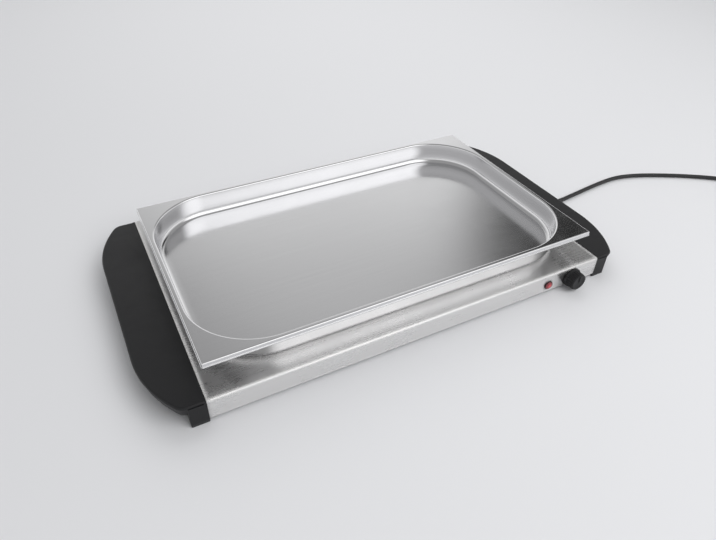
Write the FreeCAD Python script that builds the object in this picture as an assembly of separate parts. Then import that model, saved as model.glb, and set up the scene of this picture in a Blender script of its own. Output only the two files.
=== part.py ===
import FreeCAD, Part
import math
import os
from FreeCAD import Vector

# An electric food warmer: a low steel warming tray with black end caps that are
# also its handles, a full-size food pan that stands on the tray, one heat control
# and one pilot lamp on the front, and a mains cord that leaves the right end.
#
# Millimetres. X runs along the tray, the front faces -Y, +Z is up. The sub-parts
# are drawn about the middle of the tray and are moved back on saving by half of
# what the knob stands out, so the origin is at the middle of the whole footprint,
# on the surface that the feet stand on.

# Food pan: drawn from one sheet, with a folded and hemmed edge
pan_length = 530.0
pan_width = 325.0
pan_height = 32.5
pan_sheet = 0.8
pan_flange = 6.5
pan_corner_radius = 86.0
pan_draw_radius = 2.4
pan_floor_radius = 9.0
pan_edge_corner = 1.2
pan_lip = 6.5
hem_height = 1.8
hem_step = 0.7

# Tray shell: one folded sheet, the deck with a front and a rear panel, made for the pan
deck_end_margin = 4.5
deck_side_margin = 19.5
deck_height = 32.5
panel_bottom = 4.0
sheet = 0.8
bend_radius = 2.5
return_flange = 12.0
plate_edge_gap = 2.7
plate_end_gap = 10.0
vent_count = 9
vent_pitch = 36.0
vent_length = 20.0
vent_width = 3.0
vent_inset = 34.0

# End caps: a wall that closes the shell and a hollow handle along it
handle_reach = 58.5
cap_wall = 3.0
cap_roof = 3.0
cap_skirt_height = 14.5
cap_taper = 4.0
cap_edge_radius = 2.5
handle_side_radius = 150.0
handle_corner_radius = 15.0
handle_lean = math.radians(35.0)
rib_count = 5
rib_end_gap = 32.0
rib_thickness = 2.5
rib_recess = 2.0
spigot_length = 8.0
spigot_gap = 0.2
spigot_wall = 2.5
cap_boss_height = 10.0

# Feet: pillars of the caps at the corners, each on a rubber pad with a peg
foot_width = 20.0
foot_length = 30.0
pillar_drop = 3.5
foot_pad_radius = 1.5
peg_radius = 3.5
peg_length = 8.0
peg_gap = 0.05

# Heater: a tube bent to and fro under an aluminium sheet, held by three bars
spreader_end_gap = 54.5
spreader_sheet = 1.5
element_radius = 3.25
element_side_gap = 20.0
element_bend_gap = 15.0
element_overhang = 10.0
pin_radius = 1.5
pin_length = 12.0
bar_width = 14.0
bar_sheet = 1.2
bar_spacing = 120.0
bar_overhang = 14.0
stud_radius = 2.0
stud_length = 12.7
stud_gap = 0.1
nut_flats = 7.0
nut_height = 3.2
pad_end_overhang = 5.0
pad_side_overhang = 10.0
pad_gap = 2.9
reflector_sheet = 0.5
cutout_radius = 8.0
cutout_height = 9.0
cutout_inset = 20.0

# Heat control and its knob
knob_inset = 43.0
control_drop = 2.0
control_clearance = 0.25
knob_gap = 0.8
knob_radius = 13.5
knob_grip_radius = 12.2
knob_skirt = 3.0
knob_length = 15.2
knob_edge_radius = 1.6
knob_recess_radius = 9.5
knob_recess = 3.2
knob_bore_depth = 11.0
flute_count = 24
flute_radius = 0.7
pointer_width = 1.8
pointer_height = 0.6
shaft_radius = 3.0
shaft_start = 11.0
fit_gap = 0.02
running_gap = 0.05
bushing_radius = 4.9
bushing_reach = 3.0
panel_hole_gap = 0.1
control_nut_flats = 14.0
control_nut_height = 2.0
control_width = 28.0
control_depth = 18.0
tab_width = 6.3
tab_sheet = 0.8
tab_length = 8.0
tab_spacing = 14.0

# Pilot lamp
lamp_spacing = 39.5
lamp_drop = 2.25
pilot_barrel_radius = 4.9
pilot_barrel_length = 22.0
pilot_bore_radius = 4.0
pilot_bore_depth = 15.0
pilot_flange_radius = 6.2
pilot_flange = 1.0
lens_radius = 5.6
lens_rim = 1.0
lens_dome = 1.6
lens_stem_radius = 3.9
lens_stem = 5.0
bulb_radius = 2.8
bulb_length = 9.0
clip_clearance = 1.0
clip_sheet = 0.5

# Wiring
block_length = 36.0
block_width = 16.0
block_height = 12.0
block_inset = 25.5
terminal_pitch = 10.0
terminal_radius = 2.4
wire_radius = 1.1
wire_gap = 0.7
wire_room = 20.2
lane_gap = 5.5
earth_spacing = 58.0
earth_stud_length = 9.0

# Screws, all from below
screw_radius = 1.75
plate_screw_length = 5.6
cap_screw_length = 7.5
screw_gap = 0.05
head_radius = 3.3
head_height = 1.5
head_slot = 0.8
screw_inset = 6.4
plate_screw_count = 4
plate_screw_inset = 69.5

# Mains cord, its strain relief and its plug
cord_radius = 3.25
cord_exit_y = -18.0
cord_exit_height = 11.5
relief_neck_radius = 6.0
relief_neck_gap = 0.15
relief_collar_radius = 8.5
relief_collar = 2.8
relief_seat_gap = 0.2
relief_flange_radius = 6.5
relief_flange = 2.3
relief_boot = 21.7
relief_tip_radius = 4.4
groove_count = 5
groove_pitch = 3.4
groove_width = 1.2
coil_inner_radius = 29.4
coil_outer_radius = 43.2
coil_bottom = 1.05
coil_height = 12.6
coil_edge_radius = 3.2
tie_sheet = 1.0
tie_width = 8.0
tie_gap = 0.05
tie_angle = 232.0
plug_body_length = 26.0
plug_body_width = 24.0
plug_body_height = 24.0
plug_edge_radius = 3.0
plug_grip = 18.0
plug_grip_radius = 4.6
plug_grip_base = 8.5
blade_length = 17.5
blade_width = 6.35
blade_sheet = 1.5
blade_spacing = 12.7
earth_pin_radius = 2.4
earth_pin_length = 20.5
earth_pin_drop = 11.9
blade_lift = 4.0

# The cord's route, in X and Y from the strain relief's tip and in Z from the table:
# to the coil, and from the coil to the plug
lead_steps = [
    (0.0, 0.0, cord_exit_height),
    (21.5, 0.2, 10.6),
    (44.5, 1.4, 5.6),
    (69.5, 3.6, 3.3),
    (99.5, 7.6, 3.3),
    (135.5, 12.6, 3.3),
    (173.5, 17.2, 3.3),
    (209.5, 18.6, 3.3),
    (248.5, 8.0, 3.3),
    (291.5, -13.0, 3.3),
    (335.5, -39.0, 3.3),
    (373.5, -68.0, 3.8),
    (406.1, -93.6, 4.4),
]
coil_step = (381.5, -125.0, 0.0)
tail_steps = [
    (403.8, -96.6, 10.1),
    (426.5, -114.2, 8.4),
    (452.5, -130.5, 4.0),
    (479.5, -142.5, 3.4),
    (506.5, -150.0, 12.1),
    (531.5, -155.0, 12.1),
]

# Worked out from the sizes above
deck_length = pan_length + 2 * deck_end_margin
base_depth = pan_width + 2 * deck_side_margin
overall_length = deck_length + 2 * handle_reach
half_deck = deck_length / 2
half_depth = base_depth / 2
deck_underside = deck_height - sheet
skirt_bottom = deck_height - cap_skirt_height
rim_height = deck_height + pan_height
front_face = -half_depth
front_inside = front_face + sheet
flange_top = panel_bottom + sheet
plate_top = flange_top + sheet
screw_row = half_depth - screw_inset
cap_screw_x = half_deck - spigot_length / 2
rib_spacing = (base_depth - 2 * foot_length - 2 * rib_end_gap) / (rib_count - 1)
spreader_length = deck_length - 2 * spreader_end_gap
pad_length = spreader_length + 2 * pad_end_overhang
pad_width = base_depth - 2 * (sheet + control_depth + tab_length + wire_room)
spreader_width = pad_width - 2 * pad_side_overhang
element_pitch = (spreader_width - 2 * element_side_gap) / 3
element_straight = spreader_length / 2 - element_pitch / 2 - element_bend_gap
element_end = spreader_length / 2 + element_overhang
pad_thickness = deck_underside - stud_length - pad_gap - reflector_sheet - plate_top
cutout_place = Vector(spreader_length / 2 - cutout_inset, -element_pitch, 0.0)
spreader_bottom = deck_underside - spreader_sheet
element_height = spreader_bottom - element_radius
bar_top = element_height - element_radius
bar_bottom = bar_top - bar_sheet
panel_middle = (panel_bottom + deck_height) / 2
knob_x = half_deck - knob_inset
control_height = panel_middle - control_drop
control_body_height = 2 * (control_height - panel_bottom - bend_radius - control_clearance)
pilot_x = knob_x - lamp_spacing
pilot_height = panel_middle - lamp_drop
clip_radius = pilot_height - panel_bottom - bend_radius - clip_clearance
knob_back = front_face - knob_gap
knob_front = knob_back - knob_length
knob_reach = knob_gap + knob_length
moved_back = Vector(0.0, knob_reach / 2, 0.0)
exit_wall = half_deck + cap_wall
relief_collar_start = half_deck - relief_seat_gap - relief_collar
relief_tip = exit_wall + relief_flange + relief_boot
pilot_back = front_face + pilot_barrel_length
block_place = Vector(half_deck - block_inset, cord_exit_y, 0.0)
block_face_x = block_place.x - block_width / 2
earth_place = block_place + Vector(0.0, earth_spacing, 0.0)
wire_lane_x = pad_length / 2 + lane_gap
wire_lane_height = plate_top + wire_radius + wire_gap

UP = Vector(0.0, 0.0, 1.0)
DOWN = Vector(0.0, 0.0, -1.0)
ALONG = Vector(1.0, 0.0, 0.0)
BACK = Vector(0.0, 1.0, 0.0)
FRONT = Vector(0.0, -1.0, 0.0)


def from_relief(step):
    """A point of the cord, given from the strain relief's tip."""
    return Vector(relief_tip + step[0], cord_exit_y + step[1], step[2])


def save(name, shape):
    """Write one sub-part, which may be a group of separate solids."""
    moved = shape.copy()
    moved.translate(moved_back)
    moved.exportStep("parts/" + name + ".step")
    print(name, len(moved.Solids), round(moved.Volume, 1))


def box(x0, x1, y0, y1, z0, z1):
    return Part.makeBox(x1 - x0, y1 - y0, z1 - z0, Vector(x0, y0, z0))


def rod(radius, length, start, direction):
    return Part.makeCylinder(radius, length, start, direction)


def ring(outer, inner, length, start, direction):
    return rod(outer, length, start, direction).cut(rod(inner, length, start, direction))


def is_along_x(edge):
    box_of_edge = edge.BoundBox
    return box_of_edge.YLength < 1e-6 and box_of_edge.ZLength < 1e-6


def is_upright(edge):
    box_of_edge = edge.BoundBox
    return box_of_edge.XLength < 1e-6 and box_of_edge.YLength < 1e-6


def is_level_at(edge, height):
    box_of_edge = edge.BoundBox
    return abs(box_of_edge.ZMin - height) < 1e-6 and abs(box_of_edge.ZMax - height) < 1e-6


def rounded(shape, radius, wanted):
    """Round the edges that a test picks."""
    return shape.makeFillet(radius, [edge for edge in shape.Edges if wanted(edge)])


def bar_along_x(x0, x1, y_half, z0, z1, radius):
    """A bar with its four long edges rounded."""
    return rounded(box(x0, x1, -y_half, y_half, z0, z1), radius, is_along_x)


def rounded_block(x_half, y_half, z0, z1, radius):
    """A block with its four upright edges rounded."""
    return rounded(box(-x_half, x_half, -y_half, y_half, z0, z1), radius, is_upright)


def hexagon_nut(flats, bore, height, start, direction):
    """A six-sided nut with its face at start."""
    corner_radius = flats / math.sqrt(3.0)
    side = direction.cross(ALONG if abs(direction.x) < 0.5 else UP)
    side.normalize()
    other = direction.cross(side)
    corners = []
    for step in range(7):
        turn = math.radians(60.0 * step)
        corners.append(start + side * (corner_radius * math.cos(turn))
                       + other * (corner_radius * math.sin(turn)))
    face = Part.Face(Part.makePolygon(corners))
    return face.extrude(direction * height).cut(rod(bore, height, start, direction))


def mirrored_in_x(shape):
    return shape.mirror(Vector(0.0, 0.0, 0.0), ALONG)


def bent_wire(points):
    """Straight runs joined by tangent arcs, and the radius of each arc."""
    edges = []
    radii = []
    run_start = points[0]
    for before, corner, after in zip(points, points[1:], points[2:]):
        arriving = (corner - before).normalize()
        leaving = (after - corner).normalize()
        turn = arriving.getAngle(leaving)
        setback = 0.45 * min((corner - before).Length, (after - corner).Length)
        radius = setback / math.tan(turn / 2)
        arc_start = corner - arriving * setback
        arc_end = corner + leaving * setback
        inward = (leaving - arriving).normalize()
        centre = corner + inward * (radius / math.cos(turn / 2))
        arc_middle = centre - inward * radius
        edges.append(Part.LineSegment(run_start, arc_start).toShape())
        edges.append(Part.Arc(arc_start, arc_middle, arc_end).toShape())
        radii.append(radius)
        run_start = arc_end
    edges.append(Part.LineSegment(run_start, points[-1]).toShape())
    return Part.Wire(edges), radii


def tube(points, radius):
    """A round solid along a bent wire, the wire's length and the radii of its bends."""
    wire, radii = bent_wire(points)
    circle = Part.Wire(Part.makeCircle(radius, points[0], points[1] - points[0]))
    return wire.makePipeShell([circle], True, False), wire.Length, radii


def inner_wire(start, end, bends):
    """A wire whose bends are each a share of the way and a step aside from the straight line."""
    points = [start]
    points += [start + (end - start) * share + Vector(*aside) for share, aside in bends]
    points.append(end)
    return tube(points, wire_radius)[0]


def screw(x, y, length):
    """A pan-head screw from below, with a cross cut in its head."""
    head_bottom = panel_bottom - head_height
    head = rod(head_radius, head_height, Vector(x, y, head_bottom), UP)
    head = rounded(head, head_height / 2, lambda edge: is_level_at(edge, head_bottom))
    long_half = 0.6 * head_radius
    short_half = head_slot / 2
    for x_half, y_half in ((long_half, short_half), (short_half, long_half)):
        head = head.cut(box(x - x_half, x + x_half, y - y_half, y + y_half,
                            head_bottom - 1, head_bottom + head_slot))
    return head.fuse(rod(screw_radius, length, Vector(x, y, panel_bottom), UP))


def plate_screw_places():
    """Two rows of screws, spread evenly between the two ends."""
    first = half_deck - plate_screw_inset
    pitch = 2 * first / (plate_screw_count - 1)
    return [(-first + step * pitch, side * screw_row)
            for step in range(plate_screw_count) for side in (-1, 1)]


def cap_screw_places(side_x):
    return [(side_x * cap_screw_x, side * screw_row) for side in (-1, 1)]


def stud_places():
    return [(x, y) for x in (-bar_spacing, 0.0, bar_spacing)
            for y in (-element_pitch, 0.0, element_pitch)]


# Tray shell

def make_deck_panel():
    """Deck, front panel, rear panel and the flanges turned in below them."""
    outer = bar_along_x(-half_deck, half_deck, half_depth, panel_bottom, deck_height, bend_radius)
    inner = bar_along_x(-half_deck - 1, half_deck + 1, half_depth - sheet,
                        flange_top, deck_underside, bend_radius - sheet)
    mouth = box(-half_deck - 1, half_deck + 1, -half_depth + return_flange,
                half_depth - return_flange, panel_bottom - 1, flange_top + 1)
    shell = outer.cut(inner).cut(mouth)
    shell = shell.cut(rod(bushing_radius + panel_hole_gap, 4 * sheet,
                          Vector(knob_x, front_face - sheet, control_height), BACK))
    shell = shell.cut(rod(pilot_barrel_radius + panel_hole_gap, 4 * sheet,
                          Vector(pilot_x, front_face - sheet, pilot_height), BACK))
    for x, y in plate_screw_places() + cap_screw_places(-1) + cap_screw_places(1):
        shell = shell.cut(rod(screw_radius + screw_gap, 4, Vector(x, y, panel_bottom - 1), UP))
    return shell


def make_base_plate():
    """The bottom cover, which lies on the shell's flanges, with rows of vent slots."""
    x_half = half_deck - plate_end_gap
    plate = box(-x_half, x_half, -half_depth + sheet + plate_edge_gap,
                half_depth - sheet - plate_edge_gap, flange_top, plate_top)
    for x, y in plate_screw_places():
        plate = plate.cut(rod(screw_radius + screw_gap, 4, Vector(x, y, flange_top - 1), UP))
    for row in (-1, 1):
        for step in range(vent_count):
            x = (step - (vent_count - 1) / 2) * vent_pitch
            y = row * (half_depth - vent_inset)
            plate = plate.cut(box(x - vent_length / 2, x + vent_length / 2, y - vent_width / 2,
                                  y + vent_width / 2, flange_top - 1, plate_top + 1))
    return plate


def cap_outline(x_start, inset, height):
    """The right cap seen from above: the outline, drawn in by an inset."""
    side = handle_side_radius - inset
    corner = handle_corner_radius - inset
    y_end = half_depth - inset
    x_out = overall_length / 2 - inset
    side_centre_y = (half_depth - handle_side_radius * math.sin(handle_lean)
                     - handle_corner_radius * (1 - math.sin(handle_lean)))
    side_centre_x = x_out - side
    join_x = side_centre_x + side * math.cos(handle_lean)
    join_y = side_centre_y + side * math.sin(handle_lean)
    corner_x = join_x - corner * math.cos(handle_lean)
    half_lean = handle_lean / 2
    middle_lean = handle_lean + (math.pi / 2 - handle_lean) / 2

    def side_point(turn, sign):
        return Vector(side_centre_x + side * math.cos(turn),
                      sign * (side_centre_y + side * math.sin(turn)), height)

    def corner_point(turn, sign):
        return Vector(corner_x + corner * math.cos(turn),
                      sign * (y_end - corner + corner * math.sin(turn)), height)

    front_inner = Vector(x_start, -y_end, height)
    rear_inner = Vector(x_start, y_end, height)
    front_end = Vector(corner_x, -y_end, height)
    rear_end = Vector(corner_x, y_end, height)
    front_join = Vector(join_x, -join_y, height)
    rear_join = Vector(join_x, join_y, height)
    edges = [
        Part.LineSegment(front_inner, front_end).toShape(),
        Part.Arc(front_end, corner_point(middle_lean, -1), front_join).toShape(),
        Part.Arc(front_join, side_point(half_lean, -1), side_point(0.0, -1)).toShape(),
        Part.LineSegment(side_point(0.0, -1), side_point(0.0, 1)).toShape(),
        Part.Arc(side_point(0.0, 1), side_point(half_lean, 1), rear_join).toShape(),
        Part.Arc(rear_join, corner_point(middle_lean, 1), rear_end).toShape(),
        Part.LineSegment(rear_end, rear_inner).toShape(),
        Part.LineSegment(rear_inner, front_inner).toShape(),
    ]
    return Part.Wire(edges)


def tapered(x_start, low_inset, high_inset, low, high):
    """A solid between two of the cap's outlines."""
    wires = [cap_outline(x_start, low_inset, low), cap_outline(x_start, high_inset, high)]
    return Part.makeLoft(wires, True, True)


def cap_screw_boss(y_side):
    x_in = half_deck - spigot_length
    y_near = half_depth - sheet - spigot_gap - 11.0
    y_far = half_depth - sheet - spigot_gap - 1.0
    low = flange_top + spigot_gap
    boss = box(x_in, half_deck + 1, min(y_side * y_near, y_side * y_far),
               max(y_side * y_near, y_side * y_far), low, low + cap_boss_height)
    return boss


def cap_spigot():
    """The hollow plug that slides into the end of the shell."""
    y_half = half_depth - sheet - spigot_gap
    low = flange_top + spigot_gap
    high = deck_underside - spigot_gap
    radius = bend_radius - sheet
    outer = bar_along_x(half_deck - spigot_length, half_deck + 1, y_half, low, high, radius)
    inner = bar_along_x(half_deck - spigot_length - 1, half_deck, y_half - spigot_wall,
                        low + spigot_wall, high - spigot_wall, radius)
    return outer.cut(inner)


def make_right_cap_blank():
    """End wall, handle and spigot of the right cap, without the cord's hole."""
    handle = tapered(half_deck, cap_taper, 0.0, skirt_bottom, deck_height)
    top_edges = [edge for edge in handle.Edges
                 if is_level_at(edge, deck_height) and edge.BoundBox.XMax > half_deck + 1]
    handle = handle.makeFillet(cap_edge_radius, top_edges)
    slope = cap_taper / cap_skirt_height
    cavity_top = deck_height - cap_roof
    cavity = tapered(exit_wall, cap_taper + cap_wall + slope, cap_wall + slope * cap_roof,
                     skirt_bottom - 1, cavity_top)
    ribs = []
    for step in range(rib_count):
        y = (step - (rib_count - 1) / 2) * rib_spacing
        ribs.append(box(exit_wall - 1, overall_length / 2, y - rib_thickness / 2,
                        y + rib_thickness / 2, skirt_bottom + rib_recess, deck_height))
    for side in (-1, 1):
        y_edge = side * half_depth
        y_inner = side * (half_depth - foot_length)
        ribs.append(box(exit_wall - 1, half_deck + foot_width, min(y_edge, y_inner),
                        max(y_edge, y_inner), skirt_bottom, deck_height))
    for rib in ribs:
        cavity = cavity.cut(rib)
    end_wall = bar_along_x(half_deck, exit_wall, half_depth, panel_bottom, deck_height,
                           bend_radius)
    cap = handle.cut(cavity).fuse(end_wall).fuse(cap_spigot())
    for side in (-1, 1):
        cap = cap.fuse(cap_screw_boss(side)).fuse(foot_block(side))
    for x, y in cap_screw_places(1):
        cap = cap.cut(rod(screw_radius + screw_gap, cap_screw_length + 0.5,
                          Vector(x, y, panel_bottom), UP))
        cap = cap.cut(rod(peg_radius + peg_gap, peg_length + 0.5, foot_place(y), UP))
    return cap.removeSplitter()


def foot_place(y_side):
    """The middle of a right foot pad's top face."""
    y = half_depth - foot_length / 2
    return Vector(half_deck + foot_width / 2, math.copysign(y, y_side), panel_bottom)


def foot_block(y_side):
    """The part of a foot that is one with the cap, a pillar up to the handle's rounded edge."""
    place = foot_place(y_side)
    block = box(place.x - foot_width / 2, place.x + foot_width / 2, place.y - foot_length / 2,
                place.y + foot_length / 2, panel_bottom, deck_height - pillar_drop)
    return rounded(block, foot_pad_radius,
                   lambda edge: is_upright(edge) and edge.BoundBox.XMin > place.x)


def make_right_end_cap():
    """The right cap with the hole and the recess for the strain relief."""
    axis_start = Vector(half_deck - spigot_length - 1, cord_exit_y, cord_exit_height)
    hole = rod(relief_neck_radius + relief_neck_gap, 2 * spigot_length, axis_start, ALONG)
    recess = rod(relief_collar_radius + 3 * relief_seat_gap, spigot_length + 1, axis_start, ALONG)
    return make_right_cap_blank().cut(hole).cut(recess)


def make_left_end_cap():
    return mirrored_in_x(make_right_cap_blank())


def make_foot_pad(x_side, y_side):
    """One rubber pad with its peg."""
    place = foot_place(y_side)
    pad = box(place.x - foot_width / 2, place.x + foot_width / 2, place.y - foot_length / 2,
              place.y + foot_length / 2, 0.0, panel_bottom)
    pad = rounded(pad, foot_pad_radius, is_upright)
    pad = rounded(pad, foot_pad_radius / 2, lambda edge: is_level_at(edge, 0.0))
    pad = pad.fuse(rod(peg_radius, peg_length, place, UP))
    return pad if x_side > 0 else mirrored_in_x(pad)


# Food pan

def pan_bowl(inset, low, high):
    """The pan's bowl as a solid, drawn in by an inset."""
    bowl = rounded_block(pan_length / 2 - pan_flange - inset, pan_width / 2 - pan_flange - inset,
                         low, high, pan_corner_radius - inset)
    return rounded(bowl, pan_floor_radius - inset, lambda edge: is_level_at(edge, low))


def is_on_flange_edge(edge):
    """Whether an edge lies at the outer fold of the pan, not at the bowl's mouth."""
    reach = edge.BoundBox
    at_end = max(reach.XMax, -reach.XMin) > pan_length / 2 - pan_flange / 2
    at_side = max(reach.YMax, -reach.YMin) > pan_width / 2 - pan_flange / 2
    return at_end or at_side


def make_food_pan():
    """Bowl, flat flange with square corners, and a folded lip with a hem."""
    edge_x = pan_length / 2 - hem_step
    edge_y = pan_width / 2 - hem_step
    flange_bottom = rim_height - pan_sheet
    lip_bottom = rim_height - pan_lip
    flange = rounded_block(edge_x, edge_y, flange_bottom, rim_height, pan_edge_corner)
    pan = flange.fuse(pan_bowl(0.0, deck_height, rim_height))
    pan = rounded(pan, pan_draw_radius - pan_sheet,
                  lambda edge: is_level_at(edge, flange_bottom) and not is_on_flange_edge(edge))
    pan = pan.cut(pan_bowl(pan_sheet, deck_height + pan_sheet, rim_height + 1))
    pan = rounded(pan, pan_draw_radius,
                  lambda edge: is_level_at(edge, rim_height) and not is_on_flange_edge(edge))
    lip = rounded_block(edge_x, edge_y, lip_bottom, rim_height, pan_edge_corner)
    hem = rounded_block(pan_length / 2, pan_width / 2, lip_bottom, lip_bottom + hem_height,
                        pan_edge_corner + hem_step)
    hem = rounded(hem, 0.9 * hem_step, lambda edge: is_level_at(edge, lip_bottom)
                  or is_level_at(edge, lip_bottom + hem_height))
    inside = box(-edge_x + pan_sheet, edge_x - pan_sheet, -edge_y + pan_sheet,
                 edge_y - pan_sheet, lip_bottom - 1, rim_height + 1)
    pan = pan.fuse(lip.fuse(hem).cut(inside)).removeSplitter()
    return rounded(pan, 0.9 * pan_sheet,
                   lambda edge: is_level_at(edge, rim_height) and is_on_flange_edge(edge))


# Heater

def make_heat_spreader():
    plate = box(-spreader_length / 2, spreader_length / 2, -spreader_width / 2,
                spreader_width / 2, spreader_bottom, deck_underside)
    for x, y in stud_places():
        plate = plate.cut(rod(stud_radius + stud_gap, 4, Vector(x, y, spreader_bottom - 1), UP))
    return plate


def make_heating_element():
    """A tube with four straight runs and three round bends, all in one plane."""
    radius = element_pitch / 2
    rows = [-1.5 * element_pitch, -0.5 * element_pitch, 0.5 * element_pitch, 1.5 * element_pitch]
    z = element_height
    near = -element_straight
    far = element_straight
    edges = [
        Part.LineSegment(Vector(element_end, rows[0], z), Vector(near, rows[0], z)).toShape(),
        Part.Arc(Vector(near, rows[0], z), Vector(near - radius, rows[0] + radius, z),
                 Vector(near, rows[1], z)).toShape(),
        Part.LineSegment(Vector(near, rows[1], z), Vector(far, rows[1], z)).toShape(),
        Part.Arc(Vector(far, rows[1], z), Vector(far + radius, 0.0, z),
                 Vector(far, rows[2], z)).toShape(),
        Part.LineSegment(Vector(far, rows[2], z), Vector(near, rows[2], z)).toShape(),
        Part.Arc(Vector(near, rows[2], z), Vector(near - radius, rows[2] + radius, z),
                 Vector(near, rows[3], z)).toShape(),
        Part.LineSegment(Vector(near, rows[3], z), Vector(element_end, rows[3], z)).toShape(),
    ]
    start = Vector(element_end, rows[0], z)
    circle = Part.Wire(Part.makeCircle(element_radius, start, ALONG))
    return Part.Wire(edges).makePipeShell([circle], True, False)


def make_element_pins():
    pins = [rod(pin_radius, pin_length, Vector(element_end, side * 1.5 * element_pitch,
                                               element_height), ALONG) for side in (-1, 1)]
    return Part.makeCompound(pins)


def make_clamp_bars():
    y_half = 1.5 * element_pitch + bar_overhang
    bars = []
    for x in (-bar_spacing, 0.0, bar_spacing):
        bar = box(x - bar_width / 2, x + bar_width / 2, -y_half, y_half, bar_bottom, bar_top)
        for y in (-element_pitch, 0.0, element_pitch):
            bar = bar.cut(rod(stud_radius + stud_gap, 4, Vector(x, y, bar_bottom - 1), UP))
        bars.append(bar)
    return Part.makeCompound(bars)


def make_weld_studs():
    studs = [rod(stud_radius, stud_length, Vector(x, y, deck_underside), DOWN)
             for x, y in stud_places()]
    return Part.makeCompound(studs)


def make_clamp_nuts():
    nuts = [hexagon_nut(nut_flats, stud_radius + fit_gap, nut_height, Vector(x, y, bar_bottom), DOWN)
            for x, y in stud_places()]
    return Part.makeCompound(nuts)


def make_insulation_pad():
    return box(-pad_length / 2, pad_length / 2, -pad_width / 2, pad_width / 2,
               plate_top, plate_top + pad_thickness)


def make_reflector_sheet():
    return box(-pad_length / 2, pad_length / 2, -pad_width / 2, pad_width / 2,
               plate_top + pad_thickness, plate_top + pad_thickness + reflector_sheet)


def make_thermal_cutout():
    """A disc cut-out held against the aluminium sheet."""
    top = Vector(cutout_place.x, cutout_place.y, spreader_bottom)
    disc = rod(cutout_radius, cutout_height, top, DOWN)
    cap = rod(cutout_radius - 2.0, 2.0, top + DOWN * cutout_height, DOWN)
    return disc.fuse(cap)


# Heat control

def make_thermostat_body():
    half_width = control_width / 2
    half_height = control_body_height / 2
    body = box(knob_x - half_width, knob_x + half_width, front_inside, front_inside + control_depth,
               control_height - half_height, control_height + half_height)
    bushing = rod(bushing_radius, sheet + bushing_reach, Vector(knob_x, front_inside, control_height),
                  FRONT)
    bore = rod(shaft_radius + running_gap, shaft_start + sheet + bushing_reach,
               Vector(knob_x, front_inside + shaft_start, control_height), FRONT)
    return body.fuse(bushing).cut(bore)


def make_thermostat_tabs():
    y0 = front_inside + control_depth
    tabs = []
    for side in (-1, 1):
        x = knob_x + side * tab_spacing / 2
        tabs.append(box(x - tab_sheet / 2, x + tab_sheet / 2, y0, y0 + tab_length,
                        control_height - tab_width / 2, control_height + tab_width / 2))
    return Part.makeCompound(tabs)


def make_thermostat_nut():
    return hexagon_nut(control_nut_flats, bushing_radius + fit_gap, control_nut_height,
                       Vector(knob_x, front_face, control_height), FRONT)


def make_thermostat_shaft():
    start = Vector(knob_x, front_inside + shaft_start - 0.5, control_height)
    length = start.y - (knob_back - knob_bore_depth)
    return rod(shaft_radius, length, start, FRONT)


def make_control_knob():
    """A round fluted knob with a skirt, a raised pointer and a recess for the nut."""
    centre = Vector(knob_x, knob_back, control_height)
    skirt = rod(knob_radius, knob_skirt, centre, FRONT)
    skirt = rounded(skirt, 0.6, lambda edge: abs(edge.BoundBox.YMin - (knob_back - knob_skirt)) < 0.01
                    and abs(edge.BoundBox.YMax - (knob_back - knob_skirt)) < 0.01)
    grip_length = knob_length - pointer_height
    grip = rod(knob_grip_radius, grip_length, centre, FRONT)
    grip_face = knob_back - grip_length
    grip = rounded(grip, knob_edge_radius, lambda edge: abs(edge.BoundBox.YMax - grip_face) < 0.01)
    for step in range(flute_count):
        turn = 2 * math.pi * (step + 0.5) / flute_count
        place = Vector(knob_x + knob_grip_radius * math.cos(turn), knob_back - knob_skirt,
                       control_height + knob_grip_radius * math.sin(turn))
        grip = grip.cut(rod(flute_radius, knob_length, place, FRONT))
    knob = skirt.fuse(grip)
    pointer = box(knob_x - pointer_width / 2, knob_x + pointer_width / 2, knob_front,
                  grip_face + 0.5, control_height + 1.0,
                  control_height + knob_grip_radius - knob_edge_radius - flute_radius)
    knob = knob.fuse(pointer)
    knob = knob.cut(rod(knob_recess_radius, knob_recess, centre, FRONT))
    return knob.cut(rod(shaft_radius + fit_gap, knob_bore_depth, centre, FRONT))


# Pilot lamp

def make_pilot_housing():
    flange_face = Vector(pilot_x, front_face - pilot_flange, pilot_height)
    flange = rod(pilot_flange_radius, pilot_flange, flange_face, BACK)
    barrel = rod(pilot_barrel_radius, pilot_barrel_length, Vector(pilot_x, front_face, pilot_height),
                 BACK)
    bore = rod(pilot_bore_radius, pilot_bore_depth, flange_face, BACK)
    return flange.fuse(barrel).cut(bore)


def make_pilot_lens():
    """The red cap: a rim on the housing, a low dome and a stem in the bore."""
    seat = Vector(pilot_x, front_face - pilot_flange, pilot_height)
    rim = rod(lens_radius, lens_rim, seat, FRONT)
    dome_base = seat + FRONT * lens_rim
    dome_radius = lens_radius - 0.6
    sphere_radius = (dome_radius ** 2 + lens_dome ** 2) / (2 * lens_dome)
    sphere = Part.makeSphere(sphere_radius, dome_base + BACK * (sphere_radius - lens_dome))
    dome = sphere.common(rod(dome_radius, lens_dome + 0.2, dome_base + BACK * 0.2, FRONT))
    stem = rod(lens_stem_radius, lens_stem, seat, BACK)
    return rim.fuse(dome).fuse(stem)


def make_pilot_bulb():
    bore_end = front_face - pilot_flange + pilot_bore_depth
    body = rod(bulb_radius, bulb_length - bulb_radius, Vector(pilot_x, bore_end, pilot_height), FRONT)
    tip = Part.makeSphere(bulb_radius, Vector(pilot_x, bore_end - bulb_length + bulb_radius,
                                              pilot_height))
    return body.fuse(tip)


def make_pilot_clip():
    return ring(clip_radius, pilot_barrel_radius + fit_gap, clip_sheet,
                Vector(pilot_x, front_inside, pilot_height), BACK)


# Wiring

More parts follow.
